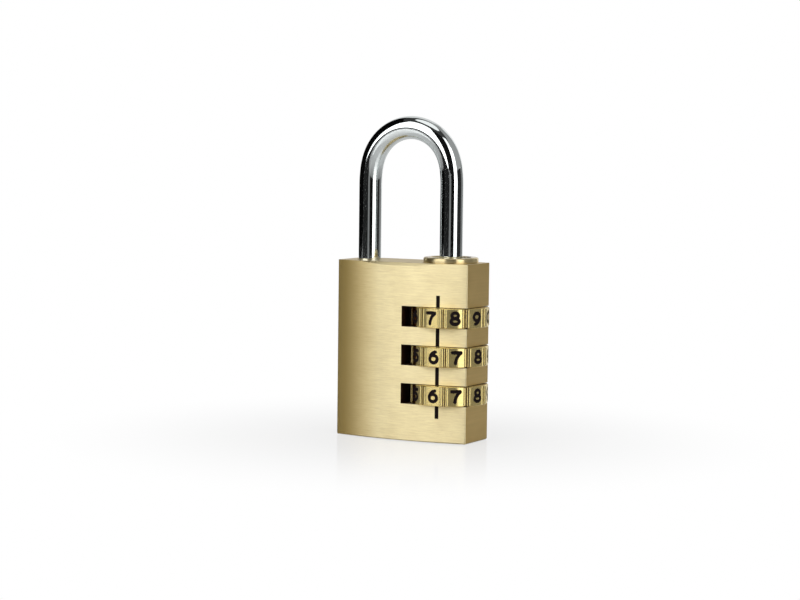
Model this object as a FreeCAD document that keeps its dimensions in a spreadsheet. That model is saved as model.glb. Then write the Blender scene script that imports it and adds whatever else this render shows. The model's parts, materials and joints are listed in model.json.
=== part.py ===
import FreeCAD, Part
import math
import os

import Sketcher

# A three-dial combination padlock: a solid brass block with a crowned front and back, a U shackle of
# round bar, and three number dials that turn about the shackle's long leg.
#
# Frame, in millimetres: the origin is the middle of the block's bottom face, +X is the right side when
# the dials face the viewer, -Y is the front, +Z is up. The lock is shut, with its code on the dials.

# Driving dimensions. Each becomes a cell of the sheet, and every size below is bound to these cells.
SIZES = [
    ("body_width", 30.0, "block, side to side"),
    ("body_height", 36.2, "block, bottom to top"),
    ("side_depth", 9.8, "block, front to back, along its side faces"),
    ("crown", 1.6, "how far the front and the back bulge past the side faces"),
    ("bevel_line", 5.8, "where the top bevels start, from the block's middle"),
    ("bevel_slope", 1.0, "fall of the top bevels, per mm of bulge"),
    ("corner_round", 0.35, "rounding of the block's upright edges"),
    ("edge_break", 0.2, "chamfer round the block's bottom"),
    ("bar_diameter", 4.7, "diameter of the shackle's bar"),
    ("leg_span", 18.9, "long leg's axis to short leg's axis"),
    ("long_leg_place", 8.6, "long leg's axis, right of the block's middle"),
    ("shackle_rise", 29.6, "top of the block to top of the bow"),
    ("toe_depth", 5.5, "how deep the short leg stands in the block"),
    ("toe_hole_depth", 6.2, "depth of the short leg's hole"),
    ("toe_chamfer", 0.6, "chamfer round the end of the short leg"),
    ("leg_end_height", 3.0, "long leg's lower end, above the block's bottom"),
    ("leg_clearance", 0.08, "gap round each leg in its hole"),
    ("dial_pitch", 7.85, "one dial to the next, and the shackle's lift"),
    ("low_dial_height", 9.65, "middle of the lowest dial, above the bottom"),
    ("slot_height", 4.15, "height of each dial slot"),
    ("slot_end", 0.35, "blind end of the slots, right of the block's middle"),
    ("slot_saw_radius", 40, "hollow of a slot's blind end, as a slotting saw leaves it"),
    ("dial_radius", 7.95, "dial, over its lands"),
    ("dial_height", 3.95, "dial, top face to bottom face"),
    ("rim_chamfer", 0.22, "chamfer round each rim of a dial"),
    ("field_depth", 0.12, "how far a number's field lies below the lands"),
    ("field_angle", 22.4, "arc of a number's field, in degrees"),
    ("grip_groove_width", 0.17, "each of the two grooves on a land"),
    ("grip_groove_depth", 0.2, "each of the two grooves on a land"),
    ("grip_groove_pitch", 0.45, "one groove on a land to the other"),
    ("core_bore", 4.3, "radius of the bore that the hubs turn in"),
    ("hub_radius", 4.25, "hub, over its splines"),
    ("spline_floor", 3.9, "radius of the floor of the splines"),
    ("spline_width", 0.9, "width of a spline groove"),
    ("tooth_tip", 3.95, "radius of the tips of a dial's inner teeth"),
    ("tooth_width", 0.8, "width of a dial's inner tooth"),
    ("tooth_height", 1.0, "height of a dial's inner teeth"),
    ("tooth_root", 0.3, "how far an inner tooth's root reaches into the dial's ring"),
    ("relief_low", 0.7, "resetting groove of a hub, above the dial's middle"),
    ("relief_height", 1.3, "resetting groove of a hub"),
    ("lug_radius", 3.2, "reach of a locking lug from the leg's axis"),
    ("lug_width", 1.8, "width of a locking lug"),
    ("lug_height", 1.6, "height of a locking lug"),
    ("lug_drop", 2.745, "middle of a lug, below the middle of its dial"),
    ("gate_width", 2.4, "gate through a hub"),
    ("recess_radius", 3.35, "ring-shaped recess under a hub, and its gate"),
    ("recess_height", 2.0, "ring-shaped recess under a hub"),
    ("spacer_thickness", 0.3, "washer between two hubs"),
    ("stack_gap", 0.03, "free play at each face of a hub"),
    ("bore_floor", 1.8, "floor of the bore, above the block's bottom"),
    ("nut_radius", 4.67, "collar nut, over its thread"),
    ("nut_bore", 4.7, "radius of the block's bore round the nut"),
    ("nut_chamber", 3.5, "radius of the room for the top lug in the nut"),
    ("nut_guide_length", 4.9, "nut's guide round the leg, below the block's top"),
    ("collar_radius", 5.6, "collar of the nut"),
    ("collar_height", 1.15, "collar of the nut"),
    ("collar_chamfer", 0.25, "chamfer round the collar"),
    ("collar_mouth", 0.25, "countersink of the collar round the leg"),
    ("dish_radius", 4.2, "shallow dish in the collar's top, round the countersink"),
    ("dish_depth", 0.28, "shallow dish in the collar's top"),
    ("dish_lean", 0.1, "how far the dish's wall leans out"),
    ("index_width", 0.8, "index groove down the front"),
    ("index_place", 8.86, "index groove's middle, right of the block's middle"),
    ("index_low", 4.9, "lower end of the index groove"),
    ("index_high", 29.8, "upper end of the index groove"),
    ("index_depth", 0.25, "depth of the index groove"),
    ("ball_radius", 1.2, "detent ball"),
    ("ball_hole_radius", 1.25, "blind hole of a detent"),
    ("ball_hole_depth", 6.0, "blind hole of a detent"),
    ("ball_gap", 0.05, "ball to dial, while the dial turns"),
    ("detent_wire", 0.25, "wire of a detent spring"),
    ("detent_coil_radius", 0.95, "middle of the wire to the axis, detent spring"),
    ("detent_turns", 4, "turns of a detent spring"),
    ("detent_free_play", 0.01, "detent spring to ball"),
    ("lift_wire", 0.35, "wire of the shackle spring"),
    ("lift_coil_radius", 1.1, "middle of the wire to the axis, shackle spring"),
    ("lift_turns", 14, "turns of the shackle spring"),
    ("lift_hole_radius", 1.45, "hole up the long leg, for the shackle spring"),
    ("lift_hole_depth", 13.0, "hole up the long leg, for the shackle spring"),
    ("pin_radius", 0.7, "guide pin inside the shackle spring"),
    ("pin_head_radius", 1.3, "head of the guide pin"),
    ("pin_head_height", 0.6, "head of the guide pin"),
    ("pin_length", 8.0, "guide pin, head included"),
    ("reset_wire", 0.6, "wire of the reset spring"),
    ("reset_coil_radius", 3.75, "middle of the wire to the axis, reset spring"),
    ("reset_turns", 2.5, "turns of the reset spring"),
    ("cut_margin", 1.0, "how far a cutting sketch reaches past what it cuts"),
]

DIGITS = 10
DIAL_COUNT = 3

# How far each dial, top to bottom, stands off its click, in degrees towards the right side.
DIAL_SLACK = (-1.2, 2.6, 2.6)

# Lengths closer than this, in millimetres, are the same.
TOLERANCE = 0.001


class Size:
    """A length that is known both as a number and as an expression over the sheet's cells."""

    def __init__(self, value, words):
        self.value = value
        self.words = words

    def join(self, other, sign, value):
        return Size(value, f"({self.words} {sign} {Size.of(other).words})")

    @staticmethod
    def of(other):
        return other if isinstance(other, Size) else Size(other, repr(other))

    def __add__(self, other):
        return self.join(other, "+", self.value + Size.of(other).value)

    def __sub__(self, other):
        return self.join(other, "-", self.value - Size.of(other).value)

    def __mul__(self, other):
        return self.join(other, "*", self.value * Size.of(other).value)

    def __truediv__(self, other):
        return self.join(other, "/", self.value / Size.of(other).value)

    def __neg__(self):
        return Size(-self.value, f"(0 - {self.words})")

    def leg_beside(self, other):
        """The second short side of a right triangle, where this length is the long side."""
        words = f"sqrt({self.words} * {self.words} - {other.words} * {other.words})"
        return Size(math.sqrt(self.value ** 2 - other.value ** 2), words)


ZERO = Size(0.0, "0")

doc = FreeCAD.newDocument("padlock")
sheet = doc.addObject("Spreadsheet::Sheet", "Sizes")


def fill_sheet():
    cells = {}
    for row, (alias, number, meaning) in enumerate(SIZES, start=1):
        sheet.set(f"A{row}", meaning)
        sheet.set(f"B{row}", str(number))
        sheet.setAlias(f"B{row}", alias)
        cells[alias] = Size(number, f"Sizes.{alias}")
    doc.recompute()
    return cells


size = fill_sheet()

# Places and sizes that several pieces share.
half_width = size["body_width"] / 2
half_side = size["side_depth"] / 2
half_depth = half_side + size["crown"]
top = size["body_height"]
axis_x = size["long_leg_place"]
toe_x = size["long_leg_place"] - size["leg_span"]
leg_radius = size["bar_diameter"] / 2
leg_hole = leg_radius + size["leg_clearance"]
hub_length = size["dial_pitch"] - size["spacer_thickness"] - size["stack_gap"] * 2
dial_heights = [size["low_dial_height"] + size["dial_pitch"] * step for step in (2, 1, 0)]
stack_bottom = size["low_dial_height"] - hub_length / 2 - size["stack_gap"]
stack_top = dial_heights[0] + hub_length / 2
nut_bottom = stack_top + size["stack_gap"] * 2
margin = size["cut_margin"]


# Helpers for sketches, features and bindings.

def bind(thing, target, length):
    thing.setExpression(target, Size.of(length).words)


def place(thing, x=ZERO, y=ZERO, z=ZERO):
    for letter, length in zip("xyz", (x, y, z)):
        bind(thing, f"Placement.Base.{letter}", length)


def new_body(name):
    body = doc.addObject("PartDesign::Body", name)
    body.Label = name
    return body


def origin_plane(body, role):
    return next(item for item in body.Origin.OriginFeatures if item.Role == role)


def new_sketch(body, name, role="XY_Plane", offset=None):
    sketch = body.newObject("Sketcher::SketchObject", name)
    sketch.AttachmentSupport = [(origin_plane(body, role), "")]
    sketch.MapMode = "FlatFace"
    if offset is not None:
        bind(sketch, "AttachmentOffset.Base.z", offset)
    return sketch


def limit(sketch, kind, *where_and_length):
    """Adds a constraint whose size is bound to the sheet."""
    *where, length = where_and_length
    index = sketch.addConstraint(Sketcher.Constraint(kind, *where, length.value))
    bind(sketch, f"Constraints[{index}]", length)


def fix_point(sketch, edge, end, point):
    limit(sketch, "DistanceX", -1, 1, edge, end, point[0])
    limit(sketch, "DistanceY", -1, 1, edge, end, point[1])


def vector(point):
    return FreeCAD.Vector(point[0].value, point[1].value, 0)


def add_line(sketch, start, end):
    return sketch.addGeometry(Part.LineSegment(vector(start), vector(end)), False)


def add_outline(sketch, points):
    """A closed outline of straight edges through the points."""
    edges = [add_line(sketch, a, b) for a, b in zip(points, points[1:] + points[:1])]
    for edge, point in zip(edges, points):
        fix_point(sketch, edge, 1, point)
    for edge, following in zip(edges, edges[1:] + edges[:1]):
        sketch.addConstraint(Sketcher.Constraint("Coincident", edge, 2, following, 1))
    return edges


def add_rectangle(sketch, low, high):
    return add_outline(sketch, [low, (high[0], low[1]), high, (low[0], high[1])])


def add_circle(sketch, centre, radius):
    circle = sketch.addGeometry(
        Part.Circle(vector(centre), FreeCAD.Vector(0, 0, 1), radius.value), False)
    fix_point(sketch, circle, 3, centre)
    limit(sketch, "Radius", circle, radius)
    return circle


def pad(body, name, sketch, length, both_ways=False):
    feature = body.newObject("PartDesign::Pad", name)
    feature.Profile = sketch
    if both_ways:
        feature.SideType = "Symmetric"
    bind(feature, "Length", length)
    return feature


def pocket(body, name, sketch, length, both_ways=False, backwards=False):
    """A pocket, which is compared with the solid before it: one that cuts nothing is an error."""
    doc.recompute()
    before = body.Shape.Volume
    feature = body.newObject("PartDesign::Pocket", name)
    feature.Profile = sketch
    if both_ways:
        feature.SideType = "Symmetric"
    feature.Reversed = backwards
    bind(feature, "Length", length)
    doc.recompute()
    if not feature.Shape.Volume < before - TOLERANCE:
        raise RuntimeError(f"{name} cuts nothing")
    return feature


def repeat_round(body, name, feature, count):
    pattern = body.newObject("PartDesign::PolarPattern", name)
    pattern.Originals = [feature]
    pattern.Axis = (origin_plane(body, "Z_Axis"), [""])
    pattern.Angle = 360
    pattern.Occurrences = count
    body.Tip = pattern
    return pattern


def repeat_up(body, name, feature, step, count):
    pattern = body.newObject("PartDesign::LinearPattern", name)
    pattern.Originals = [feature]
    pattern.Direction = (origin_plane(body, "Z_Axis"), [""])
    pattern.Occurrences = count
    bind(pattern, "Length", step * (count - 1))
    body.Tip = pattern
    return pattern


def edges_where(shape, test):
    return [f"Edge{index}" for index, edge in enumerate(shape.Edges, start=1) if test(edge)]


def soften(body, kind, name, feature, edges, length):
    """A Fillet or a Chamfer on the named edges of a feature."""
    if not edges:
        raise RuntimeError(f"{name} finds no edge")
    softened = body.newObject(f"PartDesign::{kind}", name)
    softened.Base = (feature, edges)
    bind(softened, "Radius" if kind == "Fillet" else "Size", length)
    doc.recompute()
    return softened


def is_upright(edge):
    box = edge.BoundBox
    return box.XLength < TOLERANCE and box.YLength < TOLERANCE < box.ZLength


def at_height(edge, height):
    return abs(edge.BoundBox.ZMin - height) < TOLERANCE and abs(edge.BoundBox.ZMax - height) < TOLERANCE


def is_circle_of(edge, radius):
    return isinstance(edge.Curve, Part.Circle) and abs(edge.Curve.Radius - radius) < TOLERANCE


# The block.

def crowned_outline(sketch):
    """Two straight sides joined by the arcs of the front and the back."""
    left, right = -half_width, half_width
    corners = [(left, -half_side), (right, -half_side), (right, half_side), (left, half_side)]
    front_top = (ZERO, -half_depth)
    back_top = (ZERO, half_depth)
    front = sketch.addGeometry(Part.Arc(vector(corners[0]), vector(front_top), vector(corners[1])), False)
    side_right = add_line(sketch, corners[1], corners[2])
    back = sketch.addGeometry(Part.Arc(vector(corners[2]), vector(back_top), vector(corners[3])), False)
    side_left = add_line(sketch, corners[3], corners[0])
    radius = (size["crown"] * size["crown"] + half_width * half_width) / (size["crown"] * 2)
    for arc in (front, back):
        limit(sketch, "Radius", arc, radius)
    for line, start, end in ((side_right, 1, 2), (side_left, 3, 0)):
        fix_point(sketch, line, 1, corners[start])
        fix_point(sketch, line, 2, corners[end])
    # An arc is stored anticlockwise, so each one starts where the side before it ends.
    for arc, before, after in ((front, side_left, side_right), (back, side_right, side_left)):
        sketch.addConstraint(Sketcher.Constraint("Coincident", arc, 1, before, 2))
        sketch.addConstraint(Sketcher.Constraint("Coincident", arc, 2, after, 1))


def slot_outline(sketch):
    """Open to the right side, with the hollow end that a saw leaves when it is fed in from there."""
    outside = half_depth + margin
    far = half_width + margin
    mouth = size["slot_end"] + size["slot_saw_radius"] - size["slot_saw_radius"].leg_beside(outside)
    corners = [(mouth, -outside), (far, -outside), (far, outside), (mouth, outside)]
    sides = [add_line(sketch, start, end) for start, end in zip(corners, corners[1:])]
    deepest = (size["slot_end"], ZERO)
    hollow = sketch.addGeometry(Part.Arc(vector(corners[3]), vector(deepest), vector(corners[0])), False)
    for side, corner in zip(sides, corners):
        fix_point(sketch, side, 1, corner)
    fix_point(sketch, sides[-1], 2, corners[3])
    for before, after in zip(sides, sides[1:]):
        sketch.addConstraint(Sketcher.Constraint("Coincident", before, 2, after, 1))
    # The arc is stored anticlockwise, so it starts at the back.
    sketch.addConstraint(Sketcher.Constraint("Coincident", hollow, 1, sides[-1], 2))
    sketch.addConstraint(Sketcher.Constraint("Coincident", hollow, 2, sides[0], 1))
    limit(sketch, "Radius", hollow, size["slot_saw_radius"])


def make_lock_body():
    body = new_body("lock_body")
    outline = new_sketch(body, "block_outline")
    crowned_outline(outline)
    block = pad(body, "block", outline, top)
    doc.recompute()

    rounded = soften(body, "Fillet", "upright_edges", block, edges_where(block.Shape, is_upright),
                     size["corner_round"])
    soften(body, "Chamfer", "bottom_edge", rounded,
           edges_where(rounded.Shape, lambda edge: at_height(edge, 0)), size["edge_break"])

    # The top is bevelled where the crowned front and back stand out the most.
    outside = half_depth + margin
    fall = size["bevel_slope"] * (outside - size["bevel_line"])
    bevels = new_sketch(body, "bevel_outline", "YZ_Plane")
    for start, far in ((-size["bevel_line"], -outside), (size["bevel_line"], outside)):
        add_outline(bevels, [(start, top), (far, top - fall), (far, top + margin)])
    pocket(body, "top_bevels", bevels, (half_width + margin) * 2, both_ways=True)

    slot = new_sketch(body, "slot_outline", offset=size["low_dial_height"])
    slot_outline(slot)
    cut = pocket(body, "low_slot", slot, size["slot_height"], both_ways=True)
    repeat_up(body, "slots", cut, size["dial_pitch"], DIAL_COUNT)
    doc.recompute()

    core = new_sketch(body, "core_outline", offset=top)
    add_circle(core, (axis_x, ZERO), size["core_bore"])
    pocket(body, "core_bore", core, top - size["bore_floor"])

    wide = new_sketch(body, "nut_bore_outline", offset=top)
    add_circle(wide, (axis_x, ZERO), size["nut_bore"])
    pocket(body, "nut_bore", wide, top - nut_bottom)

    toe = new_sketch(body, "toe_hole_outline", offset=top)
    add_circle(toe, (toe_x, ZERO), leg_hole)
    pocket(body, "toe_hole", toe, size["toe_hole_depth"])

    detent = new_sketch(body, "detent_hole_outline", "YZ_Plane", size["slot_end"])
    add_circle(detent, (ZERO, size["low_dial_height"]), size["ball_hole_radius"])
    hole = pocket(body, "low_detent_hole", detent, size["ball_hole_depth"])
    repeat_up(body, "detent_holes", hole, size["dial_pitch"], DIAL_COUNT)
    doc.recompute()

    # On the XZ plane a sketch's normal is -Y, so its offset is towards the front.
    index = new_sketch(body, "index_outline", "XZ_Plane", half_depth)
    middle = size["index_place"]
    add_rectangle(index, (middle - size["index_width"] / 2, size["index_low"]),
                  (middle + size["index_width"] / 2, size["index_high"]))
    bulge_lost = size["crown"] * middle * middle / (half_width * half_width)
    pocket(body, "index_groove", index, bulge_lost + size["index_depth"])
    return body


# The collar nut: a collar on the block's top, a threaded tube below it, and in the tube a guide for the
# leg, under which the top lug stops.

def make_collar_nut():
    body = new_body("collar_nut")
    outline = new_sketch(body, "nut_outline", "XZ_Plane")
    low = nut_bottom - top
    ceiling = -size["nut_guide_length"]
    height = size["collar_height"]
    floor = height - size["dish_depth"]
    mouth = size["collar_mouth"]
    slope = size["collar_chamfer"]
    rim = size["collar_radius"]
    add_outline(outline, [
        (leg_hole, ceiling),
        (leg_hole, floor - mouth),
        (leg_hole + mouth, floor),
        (size["dish_radius"] - size["dish_lean"], floor),
        (size["dish_radius"], height),
        (rim - slope, height),
        (rim, height - slope),
        (rim, ZERO),
        (size["nut_radius"], ZERO),
        (size["nut_radius"], low),
        (size["nut_chamber"], low),
        (size["nut_chamber"], ceiling),
    ])
    turned = body.newObject("PartDesign::Revolution", "turned_nut")
    turned.Profile = outline
    turned.ReferenceAxis = (outline, ["V_Axis"])
    turned.Angle = 360
    place(body, axis_x, ZERO, top)
    return body


# The shackle: round bar bent to a U, with three lugs on the long leg, which point at the short leg.

def make_shackle():
    body = new_body("shackle")
    bend = size["leg_span"] / 2
    bend_height = top + size["shackle_rise"] - leg_radius - bend
    toe_end = top - size["toe_depth"]
    middle = toe_x + bend

    route = new_sketch(body, "shackle_route", "XZ_Plane")
    toe, toe_bend = (toe_x, toe_end), (toe_x, bend_height)
    heel_bend, heel = (axis_x, bend_height), (axis_x, size["leg_end_height"])
    crest = (middle, bend_height + bend)
    short_leg = add_line(route, toe, toe_bend)
    bow = route.addGeometry(Part.Arc(vector(toe_bend), vector(crest), vector(heel_bend)), False)
    long_leg = add_line(route, heel_bend, heel)
    for leg, start, end in ((short_leg, toe, toe_bend), (long_leg, heel_bend, heel)):
        fix_point(route, leg, 1, start)
        fix_point(route, leg, 2, end)
    # The bow is stored anticlockwise, so it runs from the long leg to the short one.
    route.addConstraint(Sketcher.Constraint("Coincident", bow, 1, long_leg, 1))
    route.addConstraint(Sketcher.Constraint("Coincident", bow, 2, short_leg, 2))
    limit(route, "DistanceY", -1, 1, bow, 3, bend_height)

    section = new_sketch(body, "bar_section", offset=toe_end)
    add_circle(section, (toe_x, ZERO), leg_radius)
    bar = body.newObject("PartDesign::AdditivePipe", "bent_bar")
    bar.Profile = section
    bar.Spine = (route, [])
    doc.recompute()

    def is_leg_end(edge):
        ends = (toe_end.value, size["leg_end_height"].value)
        return is_circle_of(edge, leg_radius.value) and any(at_height(edge, height) for height in ends)

    soften(body, "Chamfer", "leg_ends", bar, edges_where(bar.Shape, is_leg_end), size["toe_chamfer"])

    # A lug is cut to its round end by the same sketch: a rectangle closed by an arc about the leg's axis.
    lug_bottom = size["low_dial_height"] - size["lug_drop"] - size["lug_height"] / 2
    lug = new_sketch(body, "lug_outline", offset=lug_bottom)
    half = size["lug_width"] / 2
    reach = size["lug_radius"]
    corner_x = axis_x - reach.leg_beside(half)
    back_side = ((axis_x, half), (corner_x, half))
    front_side = ((corner_x, -half), (axis_x, -half))
    sides = [add_line(lug, *points) for points in (back_side, front_side)]
    for side, points in zip(sides, (back_side, front_side)):
        fix_point(lug, side, 1, points[0])
        fix_point(lug, side, 2, points[1])
    root = add_line(lug, front_side[1], back_side[0])
    tip = lug.addGeometry(Part.Arc(
        vector(back_side[1]), vector((axis_x - reach, ZERO)), vector(front_side[0])), False)
    limit(lug, "Radius", tip, reach)
    for edge in (tip, root):
        first, second = (sides[0], sides[1]) if edge == tip else (sides[1], sides[0])
        lug.addConstraint(Sketcher.Constraint("Coincident", edge, 1, first, 2))
        lug.addConstraint(Sketcher.Constraint("Coincident", edge, 2, second, 1))
    low_lug = pad(body, "low_lug", lug, size["lug_height"])
    repeat_up(body, "lugs", low_lug, size["dial_pitch"], DIAL_COUNT)
    doc.recompute()

    hole = new_sketch(body, "spring_hole_outline", offset=size["leg_end_height"])
    add_circle(hole, (axis_x, ZERO), size["lift_hole_radius"])
    pocket(body, "spring_hole", hole, size["lift_hole_depth"], backwards=True)
    return body


# The dials. In a dial's own frame a land, with its two grooves, points along +X, and the number fields
# lie between the lands, one of them towards the front.

def make_dial(number, height, slack):
    name = f"dial_{number}"
    body = new_body(name)
    ring = new_sketch(body, f"{name}_ring", offset=-size["dial_height"] / 2)
    add_circle(ring, (ZERO, ZERO), size["dial_radius"])
    add_circle(ring, (ZERO, ZERO), size["core_bore"])
    blank = pad(body, f"{name}_blank", ring, size["dial_height"])
    doc.recompute()
    soften(body, "Chamfer", f"{name}_rims", blank,
           edges_where(blank.Shape, lambda edge: is_circle_of(edge, size["dial_radius"].value)),
           size["rim_chamfer"])

    # One field and the two grooves of one land. The field is cut as a sector between two radii.
    cuts = new_sketch(body, f"{name}_cuts", offset=size["dial_height"])
    step = 360 / DIGITS
    half_field = size["field_angle"].value / 2
    floor = size["dial_radius"].value - size["field_depth"].value
    outside = (size["dial_radius"] + margin).value
    angles = (step / 2 - half_field, step / 2 + half_field)

    def on_circle(radius, angle):
        turn = math.radians(angle)
        return FreeCAD.Vector(radius * math.cos(turn), radius * math.sin(turn), 0)

    arcs = [cuts.addGeometry(Part.Arc(
        on_circle(radius, angles[0]), on_circle(radius, step / 2), on_circle(radius, angles[1])), False)
        for radius in (floor, outside)]
    walls = [cuts.addGeometry(Part.LineSegment(on_circle(floor, angle), on_circle(outside, angle)), False)
             for angle in angles]
    for end, wall in ((1, walls[0]), (2, walls[1])):
        cuts.addConstraint(Sketcher.Constraint("Coincident", arcs[0], end, wall, 1))
        cuts.addConstraint(Sketcher.Constraint("Coincident", arcs[1], end, wall, 2))
        cuts.addConstraint(Sketcher.Constraint("PointOnObject", -1, 1, wall))
    for arc, radius in zip(arcs, (size["dial_radius"] - size["field_depth"], size["dial_radius"] + margin)):
        cuts.addConstraint(Sketcher.Constraint("Coincident", arc, 3, -1, 1))
        limit(cuts, "Radius", arc, radius)
    for wall, angle, sign in zip(walls, angles, "-+"):
        words = f"({step / 2} {sign} Sizes.field_angle / 2) * 1 deg"
        limit(cuts, "Angle", wall, Size(math.radians(angle), words))

    for sign in (-1, 1):
        middle = size["grip_groove_pitch"] / 2 * sign
        half = size["grip_groove_width"] / 2
        add_rectangle(cuts, (size["dial_radius"] - size["grip_groove_depth"], middle - half),
                      (size["dial_radius"] + margin, middle + half))
    first_cuts = pocket(body, f"{name}_first_cuts", cuts, size["dial_height"] * 2)
    repeat_round(body, f"{name}_fields", first_cuts, DIGITS)
    doc.recompute()

    tooth = new_sketch(body, f"{name}_tooth", offset=-size["tooth_height"] / 2)
    half = size["tooth_width"] / 2
    add_rectangle(tooth, (size["tooth_tip"], -half), (size["core_bore"] + size["tooth_root"], half))
    first_tooth = pad(body, f"{name}_first_tooth", tooth, size["tooth_height"])
    repeat_round(body, f"{name}_teeth", first_tooth, DIGITS)

    place(body, axis_x, ZERO, height)
    body.Placement.Rotation = FreeCAD.Rotation(FreeCAD.Vector(0, 0, 1), slack)
    return body


# The hubs and the washers between them share one outline: a disc with ten notches, through which the
# dials' inner teeth pass when the stack is put in from the top.

def splined_disc(name, bottom, thickness, hole_radius):
    body = new_body(name)
    outline = new_sketch(body, f"{name}_outline", offset=bottom)
    add_circle(outline, (ZERO, ZERO), size["hub_radius"])
    add_circle(outline, (ZERO, ZERO), hole_radius)
    pad(body, f"{name}_disc", outline, thickness)
    notch = new_sketch(body, f"{name}_notch", offset=bottom)
    half = size["spline_width"] / 2
    add_rectangle(notch, (size["spline_floor"], -half), (size["hub_radius"] + margin, half))
    first = pocket(body, f"{name}_first_notch", notch, thickness, backwards=True)
    repeat_round(body, f"{name}_notches", first, DIGITS)
    doc.recompute()
    return body


def make_hub(number, height, slack):
    name = f"hub_{number}"
    low = -hub_length / 2
    body = splined_disc(name, low, hub_length, leg_hole)

    # The recess lies under the hub, and the gate runs up through it, towards the short leg.
    recess = new_sketch(body, f"{name}_recess", offset=low)
    add_circle(recess, (ZERO, ZERO), size["recess_radius"])
    pocket(body, f"{name}_lug_recess", recess, size["recess_height"], backwards=True)

    gate = new_sketch(body, f"{name}_gate", offset=low)
    half = size["gate_width"] / 2
    add_rectangle(gate, (-size["recess_radius"], -half), (ZERO, half))
    pocket(body, f"{name}_lug_gate", gate, hub_length, backwards=True)

    relief = new_sketch(body, f"{name}_relief", offset=size["relief_low"])
    add_circle(relief, (ZERO, ZERO), size["hub_radius"] + margin)
    add_circle(relief, (ZERO, ZERO), size["spline_floor"])
    pocket(body, f"{name}_reset_groove", relief, size["relief_height"], backwards=True)

    place(body, axis_x, ZERO, height)
    body.Placement.Rotation = FreeCAD.Rotation(FreeCAD.Vector(0, 0, 1), slack)
    return body


def make_spacer(number, height):
    body = splined_disc(f"spacer_{number}", ZERO, size["spacer_thickness"], size["recess_radius"])
    place(body, axis_x, ZERO, height - size["dial_pitch"] / 2 - size["spacer_thickness"] / 2)
    return body


def make_thrust_washer():
    body = splined_disc("thrust_washer", ZERO, size["spacer_thickness"], size["recess_radius"])
    place(body, axis_x, ZERO, stack_bottom - size["spacer_thickness"])
    return body


# The springs: wire wound along a helix. Each quarter turn is two arcs that meet without a corner.

def helix_point(radius, pitch, turns, start_height):
    angle = 2 * math.pi * turns
    point = FreeCAD.Vector(radius * math.cos(angle), radius * math.sin(angle), start_height + pitch * turns)
    along = FreeCAD.Vector(-radius * math.sin(angle), radius * math.cos(angle), pitch / (2 * math.pi))
    return point, along.normalize()


def arc_from(start, along, end):
    """The arc that leaves start in the direction along and arrives at end."""
    chord = end - start
    half = chord.Length / 2
    unit = FreeCAD.Vector(chord).normalize()
    outward = along - unit * along.dot(unit)
    lean = math.acos(min(1.0, along.dot(unit)))
    middle = start + chord * 0.5 + outward.normalize() * (half * math.tan(lean / 2))
    return Part.Arc(start, middle, end)


def two_arcs(start, along_start, end, along_end):
    across = end - start
    total = across.dot(along_start + along_end)
    spread = 2 * (1 - along_start.dot(along_end))
    reach = (math.sqrt(total * total + spread * across.dot(across)) - total) / spread
    joint = (start + end + (along_start - along_end) * reach) * 0.5
    last = arc_from(end, along_end * -1, joint)
    return [arc_from(start, along_start, joint).toShape(), last.toShape()]


def wind_spring(name, wire, radius, turns, length):
    """A spring that stands on the XY plane, with its wire's outer faces a length apart."""
    pitch = (length - wire) / turns
    quarters = round(turns * 4)
    stations = [helix_point(radius, pitch, step / 4, wire / 2) for step in range(quarters + 1)]
    edges = []
    for (start, along_start), (end, along_end) in zip(stations, stations[1:]):
        edges += two_arcs(start, along_start, end, along_end)
    path = Part.Wire(Part.__sortEdges__(edges))
    first, along = stations[0]
    section = Part.Wire(Part.Circle(first, along, wire / 2).toShape())
    shell = Part.BRepOffsetAPI.MakePipeShell(path)
    shell.add(section)
    shell.build()
    shell.makeSolid()
    solid = shell.shape()
    if solid.Volume < 0:
        solid.reverse()
    expected = math.pi * wire * wire / 4 * path.Length
    print(f"{name}: {turns} turns, gap {pitch - wire:.2f} mm, "
          f"volume {solid.Volume:.3f} of {expected:.3f} mm3")
    spring = doc.addObject("Part::Feature", name)
    spring.Label = name
    spring.Shape = solid
    return spring


def make_shackle_spring():
    low = size["bore_floor"].value + size["pin_head_height"].value
    high = size["leg_end_height"].value + size["lift_hole_depth"].value
    spring = wind_spring("shackle_spring", size["lift_wire"].value, size["lift_coil_radius"].value,
                         size["lift_turns"].value, high - low)
    spring.Placement = FreeCAD.Placement(FreeCAD.Vector(axis_x.value, 0, low), FreeCAD.Rotation())
    return spring


def make_reset_spring():
    low = size["bore_floor"].value
    high = stack_bottom.value - size["spacer_thickness"].value
    spring = wind_spring("reset_spring", size["reset_wire"].value, size["reset_coil_radius"].value,
                         size["reset_turns"].value, high - low)
    spring.Placement = FreeCAD.Placement(FreeCAD.Vector(axis_x.value, 0, low), FreeCAD.Rotation())
    return spring


def make_detent(number, height):
    ball = doc.addObject("Part::Sphere", f"detent_ball_{number}")
    ball.Label = ball.Name
    ball_x = axis_x - size["dial_radius"] - size["ball_gap"] - size["ball_radius"]
    bind(ball, "Radius", size["ball_radius"])
    place(ball, ball_x, ZERO, height)

    # The last turn is smaller than the ball, so it bears on the ball a little behind its middle.
    wire = size["detent_wire"]
    coil_radius = size["detent_coil_radius"]
    bearing = (size["ball_radius"] + wire / 2).leg_beside(coil_radius)
    hole_end = size["slot_end"] - size["ball_hole_depth"]
    length = ball_x - bearing + wire / 2 - size["detent_free_play"] - hole_end
    spring = wind_spring(f"detent_spring_{number}", wire.value, coil_radius.value,
                         size["detent_turns"].value, length.value)
    along_x = FreeCAD.Rotation(FreeCAD.Vector(0, 1, 0), 90)
    spring.Placement = FreeCAD.Placement(FreeCAD.Vector(hole_end.value, 0, height.value), along_x)
    return [ball, spring]


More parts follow.
